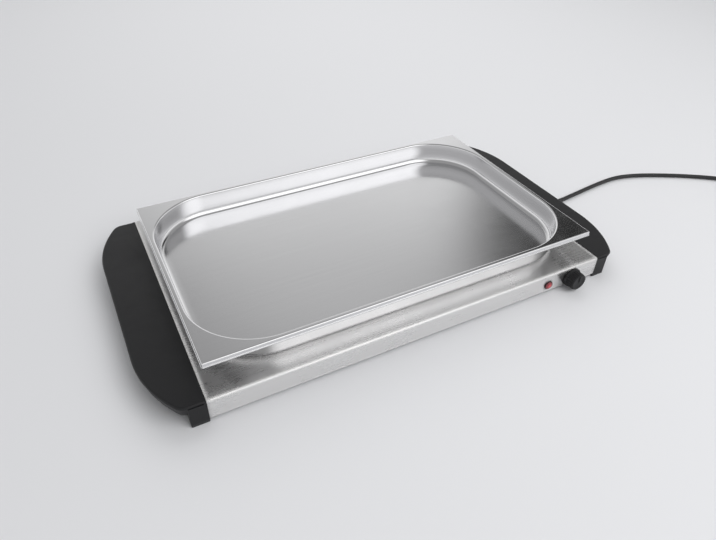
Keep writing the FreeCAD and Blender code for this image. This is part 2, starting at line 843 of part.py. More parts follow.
def make_terminal_block():
    """Three-way block on the base plate, with a hollow over each screw."""
    x, y = block_place.x, block_place.y
    block = box(x - block_width / 2, x + block_width / 2, y - block_length / 2,
                y + block_length / 2, plate_top, plate_top + block_height)
    for step in (-1, 0, 1):
        top = Vector(x, y + step * terminal_pitch, plate_top + block_height - 5.0)
        block = block.cut(rod(terminal_radius + 0.3, 6.0, top, UP))
    return block


def make_terminal_screws():
    screws = []
    for step in (-1, 0, 1):
        seat = Vector(block_place.x, block_place.y + step * terminal_pitch,
                      plate_top + block_height - 5.0)
        head = rod(terminal_radius, 3.0, seat, UP)
        slot = box(seat.x - 3, seat.x + 3, seat.y - 0.4, seat.y + 0.4, seat.z + 2.2, seat.z + 4)
        screws.append(head.cut(slot))
    return Part.makeCompound(screws)


def make_earth_terminal():
    """A stud under the deck with its nut."""
    top = Vector(earth_place.x, earth_place.y, deck_underside)
    stud = rod(stud_radius, earth_stud_length, top, DOWN)
    nut = hexagon_nut(nut_flats, stud_radius + fit_gap, nut_height, top + DOWN * 3.0, DOWN)
    washer = ring(4.5, stud_radius + fit_gap, 0.8, top + DOWN * 2.2, DOWN)
    return Part.makeCompound([stud, nut, washer])


def block_way(step):
    """Where a wire enters one of the block's ways, on the side away from the cord."""
    return Vector(block_face_x, block_place.y + step * terminal_pitch, cord_exit_height)


def tab_end(side):
    """The rear end of one of the heat control's tabs."""
    return Vector(knob_x + side * tab_spacing / 2, front_inside + control_depth + tab_length,
                  control_height)


def pin_end(side):
    """The free end of the heating element's front or rear pin."""
    return Vector(element_end + pin_length, side * 1.5 * element_pitch, element_height)


def cutout_side(side):
    """Where a wire meets the side of the thermal cut-out."""
    return Vector(cutout_place.x + cutout_radius - 0.6, cutout_place.y + 3.0 * side,
                  spreader_bottom - 5.2)


def make_supply_cores():
    """The cord's three cores, from the strain relief to the block."""
    block_far_x = block_place.x + block_width / 2
    cores = []
    for step in (-1, 0, 1):
        start = Vector(relief_collar_start, cord_exit_y + 3.0 * step, cord_exit_height)
        end = Vector(block_far_x, block_place.y + terminal_pitch * step, cord_exit_height)
        cores.append(inner_wire(start, end, [(0.45, (0.0, -1.8 * step, 0.2)),
                                             (0.55, (0.0, 1.8 * step, 0.2))]))
    return Part.makeCompound(cores)


def make_live_wire():
    """From the block to the heat control."""
    return inner_wire(block_way(-1), tab_end(1), [
        (0.02, (-5.9, 0.0, 0.4)), (0.11, (-8.2, 0.0, 0.8)), (0.37, (-5.4, 0.1, 0.5)),
        (0.64, (-0.5, -0.6, 0.2)), (0.9, (0.3, 0.5, 0.4))])


def make_switched_wire():
    """From the heat control to the thermal cut-out."""
    return inner_wire(tab_end(-1), cutout_side(-1), [
        (0.11, (1.0, 0.2, -0.4)), (0.33, (1.2, 0.1, -1.5)), (0.59, (2.4, 0.7, -2.7)),
        (0.83, (5.0, 1.0, -1.9)), (0.97, (4.7, 0.5, -0.3))])


def make_cutout_wire():
    """From the thermal cut-out to the front end of the heating element."""
    return inner_wire(cutout_side(1), pin_end(-1), [
        (0.07, (5.2, 4.7, -0.6)), (0.27, (12.3, 11.3, -2.5)), (0.58, (17.5, 16.0, -3.7)),
        (0.89, (16.8, 14.8, -3.3)), (1.07, (10.6, 9.7, -1.6)), (1.09, (4.9, 4.2, -0.3))])


def make_neutral_wire():
    """From the block to the rear end of the heating element."""
    return inner_wire(block_way(0), pin_end(1), [
        (0.02, (-6.5, -0.5, 0.7)), (0.11, (-11.1, 0.5, 0.8)), (0.39, (-12.4, 0.0, -0.5)),
        (0.65, (-7.7, 0.0, -1.1)), (0.81, (5.2, 0.4, -0.6)), (0.93, (10.6, -0.4, -0.4)),
        (0.99, (7.5, 0.4, 0.0))])


def make_earth_wire():
    """From the block to the stud under the deck."""
    end = Vector(earth_place.x - 0.8, earth_place.y - 4.0, deck_underside - 5.3)
    return inner_wire(block_way(1), end, [
        (0.04, (-5.3, 0.7, 0.9)), (0.3, (-6.2, 0.8, 1.0)), (0.68, (-2.4, 0.1, 0.9)),
        (0.89, (0.1, -0.2, 0.4))])


def make_lamp_wires():
    """The pilot lamp's two leads, to the heat control and to the block."""
    near_tab = tab_end(-1) + Vector(-1.5, -1.8, -1.45)
    to_control = inner_wire(Vector(pilot_x + 2.0, pilot_back, pilot_height), near_tab, [
        (0.05, (0.0, 8.8, 0.2)), (0.35, (0.0, 11.5, 0.4)), (0.72, (0.0, 7.0, -0.1))])
    start = Vector(pilot_x - 2.0, pilot_back, pilot_height)
    low_way = block_way(-1) + Vector(0.0, terminal_pitch / 2, -3.1)
    run = low_way.y - start.y
    points = [
        start,
        start + Vector(1.5, 11.0, -3.5),
        Vector(start.x + 8.0, start.y + 18.5, wire_lane_height + 2.1),
        Vector(start.x + 22.0, start.y + 20.5, wire_lane_height + 0.6),
        Vector(wire_lane_x - 6.5, start.y + 20.5, wire_lane_height + 0.2),
        Vector(wire_lane_x, start.y + 33.0, wire_lane_height),
        Vector(wire_lane_x, start.y + 0.47 * run, wire_lane_height),
        Vector(wire_lane_x + 0.5, start.y + 0.72 * run, wire_lane_height + 0.2),
        low_way + Vector(-8.5, -10.0, -0.4),
        low_way + Vector(-5.0, -1.5, -0.2),
        low_way,
    ]
    to_block = tube(points, wire_radius)[0]
    return Part.makeCompound([to_control, to_block])


# Screws

def make_base_plate_screws():
    return Part.makeCompound([screw(x, y, plate_screw_length) for x, y in plate_screw_places()])


def make_end_cap_screws():
    places = cap_screw_places(-1) + cap_screw_places(1)
    return Part.makeCompound([screw(x, y, cap_screw_length) for x, y in places])


# Mains cord

def make_strain_relief():
    """A moulded bushing: collar inside the wall, neck in it, flange and boot outside."""
    def on_axis(x):
        return Vector(x, cord_exit_y, cord_exit_height)

    collar = rod(relief_collar_radius, relief_collar, on_axis(relief_collar_start), ALONG)
    neck = rod(relief_neck_radius, exit_wall - relief_collar_start + 1.0,
               on_axis(relief_collar_start), ALONG)
    flange = rod(relief_flange_radius, relief_flange, on_axis(exit_wall), ALONG)
    boot = Part.makeCone(relief_neck_radius, relief_tip_radius, relief_boot,
                         on_axis(exit_wall + relief_flange), ALONG)
    shape = collar.fuse(neck).fuse(flange).fuse(boot)
    for step in range(groove_count):
        groove_x = exit_wall + relief_flange + groove_pitch * (step + 1)
        shape = shape.cut(ring(relief_collar_radius, relief_tip_radius - 0.2, groove_width,
                               on_axis(groove_x), ALONG))
    return shape


def make_cord_tube(name, steps):
    """A free stretch of the cord; its length and bends are printed."""
    shape, length, radii = tube([from_relief(step) for step in steps], cord_radius)
    volume_share = shape.Volume / (math.pi * cord_radius ** 2 * length)
    print(name, "length", round(length, 1), "volume share", round(volume_share, 4),
          "radii", [round(radius) for radius in radii])
    return shape


def make_cord_coil():
    """The outer shape of three neat turns."""
    centre = from_relief(coil_step) + UP * coil_bottom
    coil = ring(coil_outer_radius, coil_inner_radius, coil_height, centre, UP)
    return coil.makeFillet(coil_edge_radius, [edge for edge in coil.Edges
                                              if is_level_at(edge, coil_bottom)
                                              or is_level_at(edge, coil_bottom + coil_height)])


def make_cord_tie():
    """A flat tie wrapped once round the coil."""
    middle = (coil_inner_radius + coil_outer_radius) / 2
    reach = (coil_outer_radius - coil_inner_radius) / 2 + tie_gap
    low = coil_bottom - tie_gap
    high = coil_bottom + coil_height + tie_gap
    outer = box(-reach - tie_sheet, reach + tie_sheet, -tie_width / 2, tie_width / 2,
                low - tie_sheet, high + tie_sheet)
    inner = box(-reach, reach, -tie_width, tie_width, low, high)
    tie = outer.cut(inner)
    tie.translate(Vector(middle, 0.0, 0.0))
    tie.rotate(Vector(0.0, 0.0, 0.0), UP, tie_angle)
    tie.translate(from_relief(coil_step))
    return tie


def on_cord_end(shape):
    """Put a shape drawn along +X at the far end of the cord."""
    end = from_relief(tail_steps[-1])
    before = from_relief(tail_steps[-2])
    heading = math.degrees(math.atan2(end.y - before.y, end.x - before.x))
    placed = shape.copy()
    placed.rotate(Vector(0.0, 0.0, 0.0), UP, heading)
    placed.translate(end)
    return placed


def make_plug_body():
    grip = Part.makeCone(plug_grip_radius, plug_grip_base, plug_grip, Vector(0.0, 0.0, 0.0), ALONG)
    block = box(plug_grip - 1.0, plug_grip + plug_body_length, -plug_body_width / 2,
                plug_body_width / 2, -plug_body_height / 2, plug_body_height / 2)
    block = rounded(block, plug_edge_radius,
                    lambda edge: edge.BoundBox.XMax < plug_grip + plug_body_length - 0.01
                    or is_along_x(edge))
    return on_cord_end(grip.fuse(block))


def make_plug_blades():
    face = plug_grip + plug_body_length
    blades = []
    for side in (-1, 1):
        y = side * blade_spacing / 2
        blade = box(face, face + blade_length, y - blade_sheet / 2, y + blade_sheet / 2,
                    blade_lift - blade_width / 2, blade_lift + blade_width / 2)
        hole = rod(1.6, 4.0, Vector(face + 11.5, y - 2.0, blade_lift), BACK)
        blades.append(on_cord_end(blade.cut(hole)))
    return Part.makeCompound(blades)


def make_plug_earth_pin():
    face = Vector(plug_grip + plug_body_length, 0.0, blade_lift - earth_pin_drop)
    pin = rod(earth_pin_radius, earth_pin_length - earth_pin_radius, face, ALONG)
    tip = Part.makeSphere(earth_pin_radius, face + ALONG * (earth_pin_length - earth_pin_radius))
    return on_cord_end(pin.fuse(tip))


def main():
    os.makedirs("parts", exist_ok=True)
    save("deck_panel", make_deck_panel())
    save("base_plate", make_base_plate())
    save("left_end_cap", make_left_end_cap())
    save("right_end_cap", make_right_end_cap())
    for x_name, x_side in (("left", -1), ("right", 1)):
        for y_name, y_side in (("front", -1), ("rear", 1)):
            save(y_name + "_" + x_name + "_foot_pad", make_foot_pad(x_side, y_side))
    save("food_pan", make_food_pan())
    save("heat_spreader", make_heat_spreader())
    save("heating_element", make_heating_element())
    save("element_pins", make_element_pins())
    save("clamp_bars", make_clamp_bars())
    save("weld_studs", make_weld_studs())
    save("clamp_nuts", make_clamp_nuts())
    save("insulation_pad", make_insulation_pad())
    save("reflector_sheet", make_reflector_sheet())
    save("thermal_cutout", make_thermal_cutout())
    save("thermostat_body", make_thermostat_body())
    save("thermostat_tabs", make_thermostat_tabs())
    save("thermostat_nut", make_thermostat_nut())
    save("thermostat_shaft", make_thermostat_shaft())
    save("control_knob", make_control_knob())
    save("pilot_housing", make_pilot_housing())
    save("pilot_lens", make_pilot_lens())
    save("pilot_bulb", make_pilot_bulb())
    save("pilot_clip", make_pilot_clip())
    save("terminal_block", make_terminal_block())
    save("terminal_screws", make_terminal_screws())
    save("earth_terminal", make_earth_terminal())
    save("supply_cores", make_supply_cores())
    save("live_wire", make_live_wire())
    save("switched_wire", make_switched_wire())
    save("cutout_wire", make_cutout_wire())
    save("neutral_wire", make_neutral_wire())
    save("earth_wire", make_earth_wire())
    save("lamp_wires", make_lamp_wires())
    save("base_plate_screws", make_base_plate_screws())
    save("end_cap_screws", make_end_cap_screws())
    save("strain_relief", make_strain_relief())
    save("cord_lead", make_cord_tube("cord_lead", lead_steps))
    save("cord_tail", make_cord_tube("cord_tail", tail_steps))
    save("cord_coil", make_cord_coil())
    save("cord_tie", make_cord_tie())
    save("plug_body", make_plug_body())
    save("plug_blades", make_plug_blades())
    save("plug_earth_pin", make_plug_earth_pin())


main()
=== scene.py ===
# %% [markdown]
# # Dressing an electric food warmer
# The CAD model of a warming tray is already packed: a low steel tray with black end caps that are
# its handles, a large steel food pan standing on it, a heat control, a pilot lamp and a mains cord.
# This notebook gives every piece its finish, rebuilds the few pieces whose shape is softer than CAD
# drew them, and lights the whole as in a plain studio. All sizes are metres, in the frame of the
# CAD model.

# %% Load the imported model
import bmesh
import bpy
import math
from mathutils import Matrix, Vector


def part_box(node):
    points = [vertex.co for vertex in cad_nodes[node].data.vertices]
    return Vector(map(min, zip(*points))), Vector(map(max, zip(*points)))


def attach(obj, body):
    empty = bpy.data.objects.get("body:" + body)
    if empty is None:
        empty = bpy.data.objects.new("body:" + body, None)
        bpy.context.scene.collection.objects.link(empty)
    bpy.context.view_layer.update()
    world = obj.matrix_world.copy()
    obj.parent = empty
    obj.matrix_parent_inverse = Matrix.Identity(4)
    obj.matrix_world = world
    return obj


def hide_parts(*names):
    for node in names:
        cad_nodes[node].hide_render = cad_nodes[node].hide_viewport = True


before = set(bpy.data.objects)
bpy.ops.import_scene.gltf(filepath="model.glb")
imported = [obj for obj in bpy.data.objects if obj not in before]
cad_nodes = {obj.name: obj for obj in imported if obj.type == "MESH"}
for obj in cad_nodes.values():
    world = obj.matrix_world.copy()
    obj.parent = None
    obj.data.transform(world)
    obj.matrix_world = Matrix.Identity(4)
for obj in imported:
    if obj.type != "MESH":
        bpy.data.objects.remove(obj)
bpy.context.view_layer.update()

# %% [markdown]
# ## The camera
# The photograph looks down on the tray from the front left. Its lens, place and tilt were fitted to
# the pan's four corners and the tray's edges beforehand, so here they are only numbers. The camera
# is made first, because the cord's stored coil has to lie where this view doesn't see it.

# %% Place the camera
YAW, PITCH, ROLL = (math.radians(angle) for angle in (28.09, 38.69, 1.04))
FOCAL_PIXELS, PHOTO_PIXELS_WIDE = 592.9, 716
SENSOR_WIDTH = 36.0
CAMERA_PLACE = (-0.3171, -0.5856, 0.5163)

ahead = Vector((math.sin(YAW) * math.cos(PITCH), math.cos(YAW) * math.cos(PITCH), -math.sin(PITCH)))
level_right = Vector((math.cos(YAW), -math.sin(YAW), 0))
level_up = level_right.cross(ahead)
right = math.cos(ROLL) * level_right + math.sin(ROLL) * level_up
up = math.cos(ROLL) * level_up - math.sin(ROLL) * level_right

camera = bpy.data.objects.new("camera", bpy.data.cameras.new("camera"))
camera.data.sensor_width = SENSOR_WIDTH
camera.data.lens = SENSOR_WIDTH * FOCAL_PIXELS / PHOTO_PIXELS_WIDE
camera.matrix_world = Matrix((right, up, -ahead)).transposed().to_4x4()
camera.location = CAMERA_PLACE
bpy.context.scene.collection.objects.link(camera)
bpy.context.scene.camera = camera
print("lens:", round(camera.data.lens, 2), "mm")

# %% [markdown]
# ## The mains cord
# A mains cord is one length of something bendy, so it is one smooth curve: a NURBS spline whose
# control points are the route that the CAD model follows. It leaves the strain relief straight,
# drops to the table within a hand's width, wanders off to the right, and its spare length is wound
# into three turns that are further points of the same spline. A round bevel gives it its thickness:
# the bevel is one metre deep and each point's radius scales it down, so the curve's bounds come
# out true. The steps are in millimetres.

# %% Route the cord
CORD_DIAMETER = 0.0065
CORD_EXIT = Vector((0.2965, -0.010, 0.0115))
LEAD_STEPS = [
    (0.0, 0.0, 11.5), (21.5, 0.2, 10.6), (44.5, 1.4, 5.6), (69.5, 3.6, 3.3), (99.5, 7.6, 3.3),
    (135.5, 12.6, 3.3), (173.5, 17.2, 3.3), (209.5, 18.6, 3.3), (248.5, 8.0, 3.3),
    (291.5, -13.0, 3.3), (335.5, -39.0, 3.3), (373.5, -68.0, 3.8),
]
COIL_CENTRE_STEP = Vector((381.5, -125.0))
TAIL_STEPS = [
    (426.5, -114.2, 8.4), (452.5, -130.5, 4.0), (479.5, -142.5, 3.4), (506.5, -150.0, 12.1),
    (531.5, -155.0, 12.1),
]


def from_relief(step):
    """A point of the cord, given in millimetres from the strain relief's tip."""
    x, y, z = step
    return Vector((CORD_EXIT.x + x / 1000, CORD_EXIT.y + y / 1000, z / 1000))


# %% Wind the coil's turns
POINTS_PER_TURN = 16
COIL_START_ANGLE = math.radians(52)
# The radius and height of each turn.
TURN_PLACES = [(32.8, 4.3), (39.8, 4.3), (36.4, 10.3)]
COIL_TURNS = len(TURN_PLACES)
# The part of a turn, at its end, in which the cord moves over to the next turn's place.
MOVING_PART = 1 / 4


def coil_steps():
    """Turns that lie beside and on each other, a cord's thickness apart."""
    steps = []
    count = COIL_TURNS * POINTS_PER_TURN
    for index in range(count + 1):
        turn = min(index / POINTS_PER_TURN, COIL_TURNS - 1e-6)
        here = TURN_PLACES[int(turn)]
        following = TURN_PLACES[min(int(turn) + 1, COIL_TURNS - 1)]
        blend = max(0.0, (turn - int(turn) - 1) / MOVING_PART + 1)
        radius = here[0] + (following[0] - here[0]) * blend
        height = here[1] + (following[1] - here[1]) * blend
        angle = COIL_START_ANGLE - 2 * math.pi * index / POINTS_PER_TURN
        steps.append((COIL_CENTRE_STEP.x + radius * math.cos(angle),
                      COIL_CENTRE_STEP.y + radius * math.sin(angle), height))
    return steps


# %% Make the cord
cord_steps = LEAD_STEPS + coil_steps() + TAIL_STEPS
cord_curve = bpy.data.curves.new("mains_cord", "CURVE")
cord_curve.dimensions = "3D"
cord_curve.bevel_depth = 1.0
cord_curve.bevel_resolution = 5
cord_curve.resolution_u = 10
cord_curve.use_fill_caps = True
cord_line = cord_curve.splines.new("NURBS")
cord_line.points.add(len(cord_steps) - 1)
for point, step in zip(cord_line.points, cord_steps):
    point.co = (*from_relief(step), 1.0)
    point.radius = CORD_DIAMETER / 2
cord_line.order_u = 3
cord_line.use_endpoint_u = True
mains_cord = bpy.data.objects.new("mains_cord", cord_curve)
bpy.context.scene.collection.objects.link(mains_cord)
print("cord points:", len(cord_steps))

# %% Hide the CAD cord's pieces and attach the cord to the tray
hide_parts("cord_lead", "cord_coil", "cord_tail")
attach(mains_cord, "tray")

# %% [markdown]
# ## Node helpers
# Procedural materials are wired from nodes. A few small helpers keep that readable: they make a
# node and fill its inputs, start a node group with named inputs and outputs, put such a group in a
# material with its own values, and do the sums.


# %% Helpers for nodes
def node(tree, kind, inputs=None, **settings):
    """Add a node; inputs are values, or sockets that are linked."""
    made = tree.nodes.new(kind)
    for name, value in settings.items():
        setattr(made, name, value)
    for name, value in (inputs or {}).items():
        if isinstance(value, bpy.types.NodeSocket):
            tree.links.new(value, made.inputs[name])
        else:
            made.inputs[name].default_value = value
    return made


def start_group(name, inputs, outputs):
    """A node group with float sockets; gives back the tree and its two ends."""
    tree = bpy.data.node_groups.new(name, "ShaderNodeTree")
    for socket_name, value in inputs.items():
        socket = tree.interface.new_socket(socket_name, in_out="INPUT",
                                           socket_type="NodeSocketFloat")
        socket.default_value = value
    for socket_name in outputs:
        tree.interface.new_socket(socket_name, in_out="OUTPUT", socket_type="NodeSocketFloat")
    return tree, tree.nodes.new("NodeGroupInput"), tree.nodes.new("NodeGroupOutput")


def place_group(tree, group, **inputs):
    """Put a node group in a material, with its own values."""
    made = tree.nodes.new("ShaderNodeGroup")
    made.node_tree = group
    for name, value in inputs.items():
        made.inputs[name].default_value = value
    return made


def multiply(tree, first, second):
    return node(tree, "ShaderNodeMath", {0: first, 1: second}, operation="MULTIPLY").outputs[0]


def add(tree, first, second):
    return node(tree, "ShaderNodeMath", {0: first, 1: second}, operation="ADD").outputs[0]


def between(tree, value, low, high, to_low=0.0, to_high=1.0):
    """Stretch a value from one range to another."""
    return node(tree, "ShaderNodeMapRange", {"Value": value, "From Min": low, "From Max": high,
                                             "To Min": to_low, "To Max": to_high}).outputs[0]


# %% [markdown]
# ## Shared effects
# Steel sheet is brushed: thousands of fine scratches that all run one way. A noise that is
# stretched along the grain, which is the object's X, looks like that at any distance, and a second,
# finer one gives the relief.


# %% Brushed grain
def make_brushed_grain():
    tree, given, out = start_group("brushed_grain", {"Along": 6.0, "Across": 900.0},
                                   ["Streaks", "Fine"])
    place = node(tree, "ShaderNodeTexCoord").outputs["Object"]
    scale = node(tree, "ShaderNodeCombineXYZ", {"X": given.outputs["Along"],
                                                "Y": given.outputs["Across"],
                                                "Z": given.outputs["Across"]}).outputs[0]
    stretched = node(tree, "ShaderNodeVectorMath", {0: place, 1: scale},
                     operation="MULTIPLY").outputs[0]
    streaks = node(tree, "ShaderNodeTexNoise", {"Vector": stretched, "Scale": 1.0, "Detail": 4.0,
                                                "Roughness": 0.6}).outputs["Fac"]
    fine = node(tree, "ShaderNodeTexNoise", {"Vector": stretched, "Scale": 3.7, "Detail": 2.0,
                                             "Roughness": 0.5}).outputs["Fac"]
    tree.links.new(streaks, out.inputs["Streaks"])
    tree.links.new(fine, out.inputs["Fine"])
    return tree


brushed_grain = make_brushed_grain()


# %% [markdown]
# Handling leaves wiped patches that are seen only as a change of gloss. One group makes such
# patches from a bent noise, cut off so that clean metal stays between them.


# %% Handling marks
def make_handling_marks():
    tree, given, out = start_group("handling_marks", {"Size": 18.0, "Amount": 0.5}, ["Marks"])
    place = node(tree, "ShaderNodeTexCoord").outputs["Object"]
    patches = node(tree, "ShaderNodeTexNoise", {"Vector": place, "Scale": given.outputs["Size"],
                                                "Detail": 5.0, "Roughness": 0.62,
                                                "Distortion": 0.6}).outputs["Fac"]
    soft = between(tree, patches, 0.42, 0.72)
    tree.links.new(multiply(tree, soft, given.outputs["Amount"]), out.inputs["Marks"])
    return tree


handling_marks = make_handling_marks()


# %% [markdown]
# Edges are where plastic gets polished. Cycles can round a normal over an edge without changing
# the mesh; where the rounded normal and the true one differ, there is an edge.


# %% Edge wear
def make_edge_wear():
    tree, given, out = start_group("edge_wear", {"Width": 0.001, "Amount": 1.0}, ["Edges"])
    true_normal = node(tree, "ShaderNodeNewGeometry").outputs["Normal"]
    rounded = node(tree, "ShaderNodeBevel", {"Radius": given.outputs["Width"]},
                   samples=4).outputs[0]
    likeness = node(tree, "ShaderNodeVectorMath", {0: true_normal, 1: rounded},
                    operation="DOT_PRODUCT").outputs["Value"]
    edge = between(tree, likeness, 0.995, 0.80)
    place = node(tree, "ShaderNodeTexCoord").outputs["Object"]
    broken = node(tree, "ShaderNodeTexNoise", {"Vector": place, "Scale": 160.0,
                                               "Detail": 3.0}).outputs["Fac"]
    worn = multiply(tree, edge, between(tree, broken, 0.35, 0.65, 0.4, 1.0))
    tree.links.new(multiply(tree, worn, given.outputs["Amount"]), out.inputs["Edges"])
    return tree


edge_wear = make_edge_wear()


# %% [markdown]
# Black mouldings get a fine spark-eroded grain from the tool: shallow pits well under a millimetre.


# %% Moulded grain
def make_moulded_grain():
    tree, given, out = start_group("moulded_grain", {"Scale": 1500.0}, ["Pits", "Specks"])
    place = node(tree, "ShaderNodeTexCoord").outputs["Object"]
    cells = node(tree, "ShaderNodeTexVoronoi", {"Vector": place, "Scale": given.outputs["Scale"]},
                 feature="SMOOTH_F1").outputs["Distance"]
    cloud = node(tree, "ShaderNodeTexNoise", {"Vector": place, "Scale": given.outputs["Scale"],
                                              "Detail": 2.0}).outputs["Fac"]
    tree.links.new(add(tree, cells, cloud), out.inputs["Pits"])
    tree.links.new(between(tree, cloud, 0.55, 0.75), out.inputs["Specks"])
    return tree


moulded_grain = make_moulded_grain()
print("shared effects:", [g.name for g in bpy.data.node_groups])

# %% [markdown]
# ## Finishes
# Each finish is a Principled shader with the shared effects feeding its colour, roughness and bump.
# Steel is a metal whose colour is its reflection; what makes it look like sheet is the grain. A
# brushed sheet also spreads each highlight across its grain, so the shell's shader is anisotropic
# with the grain along X, and its folds are softened by rounding the normal over them. Plastic and
# rubber are dark, rough and pitted, and shine only where hands polish their edges; the wires'
# sleeves and the mineral wool are the same recipe with other numbers.


# %% Start a material
def start_material(name):
    material = bpy.data.materials.new(name)
    material.use_nodes = True
    tree = material.node_tree
    return material, tree, tree.nodes["Principled BSDF"]


def mix_colours(tree, factor, first, second):
    mixed = node(tree, "ShaderNodeMix", data_type="RGBA")
    tree.links.new(factor, mixed.inputs["Factor"])
    mixed.inputs["A"].default_value = (*first, 1)
    mixed.inputs["B"].default_value = (*second, 1)
    return mixed.outputs["Result"]


def bump(tree, shader, height, distance):
    made = node(tree, "ShaderNodeBump", {"Height": height, "Distance": distance, "Strength": 1.0})
    tree.links.new(made.outputs[0], shader.inputs["Normal"])
    return made


# %% Steel and other metals
STREAK_DEPTH = 0.000002
STREAK_SHADE = 0.07


def metal(name, colour, gloss, along=6.0, across=900.0, marks=0.06, soft_edge=0.0, spread=0.0):
    """Brushed or rolled metal: streaks in its colour, roughness and relief."""
    material, tree, shader = start_material(name)
    shader.inputs["Metallic"].default_value = 1.0
    if spread:
        shader.inputs["Anisotropic"].default_value = spread
        across_grain = node(tree, "ShaderNodeTangent", direction_type="RADIAL", axis="X")
        tree.links.new(across_grain.outputs["Tangent"], shader.inputs["Tangent"])
    grain = place_group(tree, brushed_grain, Along=along, Across=across)
    handled = place_group(tree, handling_marks, Size=14.0, Amount=marks)
    darker = tuple(channel * (1 - STREAK_SHADE) for channel in colour)
    tree.links.new(mix_colours(tree, grain.outputs["Streaks"], darker, colour),
                   shader.inputs["Base Color"])
    streaked = between(tree, grain.outputs["Streaks"], 0.3, 0.7, gloss * 0.92, gloss * 1.08)
    tree.links.new(add(tree, streaked, handled.outputs["Marks"]), shader.inputs["Roughness"])
    relief = bump(tree, shader, grain.outputs["Fine"], STREAK_DEPTH)
    if soft_edge:
        softened = node(tree, "ShaderNodeBevel", {"Radius": soft_edge}, samples=8).outputs[0]
        tree.links.new(softened, relief.inputs["Normal"])
    return material


shell_steel = metal("shell_steel", (0.82, 0.815, 0.81), 0.27, soft_edge=0.006, spread=0.85)
plated_steel = metal("plated_steel", (0.60, 0.61, 0.62), 0.42, along=120, across=120, marks=0.2)
zinc_steel = metal("zinc_steel", (0.62, 0.62, 0.60), 0.38, along=300, across=300)
element_steel = metal("element_steel", (0.26, 0.25, 0.24), 0.48, along=200, across=200)
mill_aluminium = metal("mill_aluminium", (0.78, 0.79, 0.80), 0.36, along=9, across=500)
contact_brass = metal("contact_brass", (0.74, 0.58, 0.30), 0.30, along=200, across=200)


# %% Moulded plastic and rubber
def moulding(name, colour, gloss, grain_scale=1500.0, relief=0.00004, wear=0.35, lighter=1.9,
             shine=0.5):
    """Moulded plastic or rubber: fine pits, faint specks, edges polished by handling."""
    material, tree, shader = start_material(name)
    grain = place_group(tree, moulded_grain, Scale=grain_scale)
    worn = place_group(tree, edge_wear, Width=0.0008, Amount=wear)
    handled = place_group(tree, handling_marks, Size=22.0, Amount=0.10)
    pale = tuple(min(channel * lighter + 0.01, 1.0) for channel in colour)
    faded = add(tree, multiply(tree, grain.outputs["Specks"], 0.35), worn.outputs["Edges"])
    tree.links.new(mix_colours(tree, faded, colour, pale), shader.inputs["Base Color"])
    polished = multiply(tree, worn.outputs["Edges"], -0.25)
    rough = add(tree, add(tree, handled.outputs["Marks"], gloss), polished)
    tree.links.new(rough, shader.inputs["Roughness"])
    shader.inputs["Specular IOR Level"].default_value = shine
    bump(tree, shader, grain.outputs["Pits"], relief)
    return material


cap_plastic = moulding("cap_plastic", (0.009, 0.009, 0.010), 0.46, wear=0.25, shine=0.35)
pad_rubber = moulding("pad_rubber", (0.028, 0.028, 0.030), 0.72, grain_scale=900.0)
cord_sheath = moulding("cord_sheath", (0.013, 0.013, 0.014), 0.45, relief=0.00001)
brown_moulding = moulding("brown_moulding", (0.16, 0.085, 0.045), 0.42)
cream_moulding = moulding("cream_moulding", (0.78, 0.74, 0.64), 0.45, lighter=1.1)
mineral_wool = moulding("mineral_wool", (0.70, 0.63, 0.45), 0.95, grain_scale=420.0,
                        relief=0.0012, wear=0.0, lighter=1.2)
live_sleeve = moulding("live_sleeve", (0.18, 0.06, 0.03), 0.35, relief=0.00001)
neutral_sleeve = moulding("neutral_sleeve", (0.03, 0.10, 0.40), 0.35, relief=0.00001)
earth_sleeve = moulding("earth_sleeve", (0.10, 0.36, 0.06), 0.35, relief=0.00001)
grey_sleeve = moulding("grey_sleeve", (0.25, 0.22, 0.20), 0.35, relief=0.00001)

# %% [markdown]
# ## Dressing the CAD pieces
# Pieces whose CAD shape is already right keep it and only get a finish. The table says which. It
# also covers the cord, knob and plug pieces that softer ones stand for; the CAD pan is not in it
# and gets no finish here. The new pan and the pilot lamp get their own finishes further on.

# %% Give each CAD piece its finish
FINISHES = {
    shell_steel: ["deck_panel"],
    plated_steel: ["base_plate", "clamp_bars"],
    zinc_steel: ["weld_studs", "clamp_nuts", "thermostat_nut", "thermostat_shaft", "pilot_clip",
                 "earth_terminal", "base_plate_screws", "end_cap_screws"],
    element_steel: ["heating_element", "element_pins"],
    mill_aluminium: ["heat_spreader", "reflector_sheet", "thermal_cutout"],
    contact_brass: ["thermostat_tabs", "terminal_screws", "plug_blades", "plug_earth_pin"],
    cap_plastic: ["left_end_cap", "right_end_cap", "control_knob", "pilot_housing", "cord_tie",
                  "plug_body"],
    pad_rubber: ["front_left_foot_pad", "rear_left_foot_pad", "front_right_foot_pad",
                 "rear_right_foot_pad", "strain_relief"],
    brown_moulding: ["thermostat_body"],
    cream_moulding: ["terminal_block"],
    mineral_wool: ["insulation_pad"],
    live_sleeve: ["live_wire", "switched_wire", "cutout_wire"],
    neutral_sleeve: ["neutral_wire"],
    earth_sleeve: ["earth_wire"],
    grey_sleeve: ["supply_cores", "lamp_wires"],
    cord_sheath: ["cord_lead", "cord_coil", "cord_tail"],
}


def wear_finish(piece, material):
    piece.data.materials.clear()
    piece.data.materials.append(material)


for material, names in FINISHES.items():
    for name in names:
        wear_finish(cad_nodes[name], material)
wear_finish(mains_cord, cord_sheath)
dressed = sum(len(names) for names in FINISHES.values())
print("dressed", dressed, "of", len(cad_nodes), "CAD pieces")


# %% [markdown]
# ## The food pan
# The pan is drawn from one stainless sheet. Between its flat flange and the bowl's wall the sheet
# turns over a small radius, and that radius draws the bright line that one sees first. A lofted
# mesh of rounded rectangles keeps that radius crisp: every ring has the same number of points, so
# ring follows ring from the middle of the floor, up the wall, over the flange, round the folded
# edge and back along the underside.


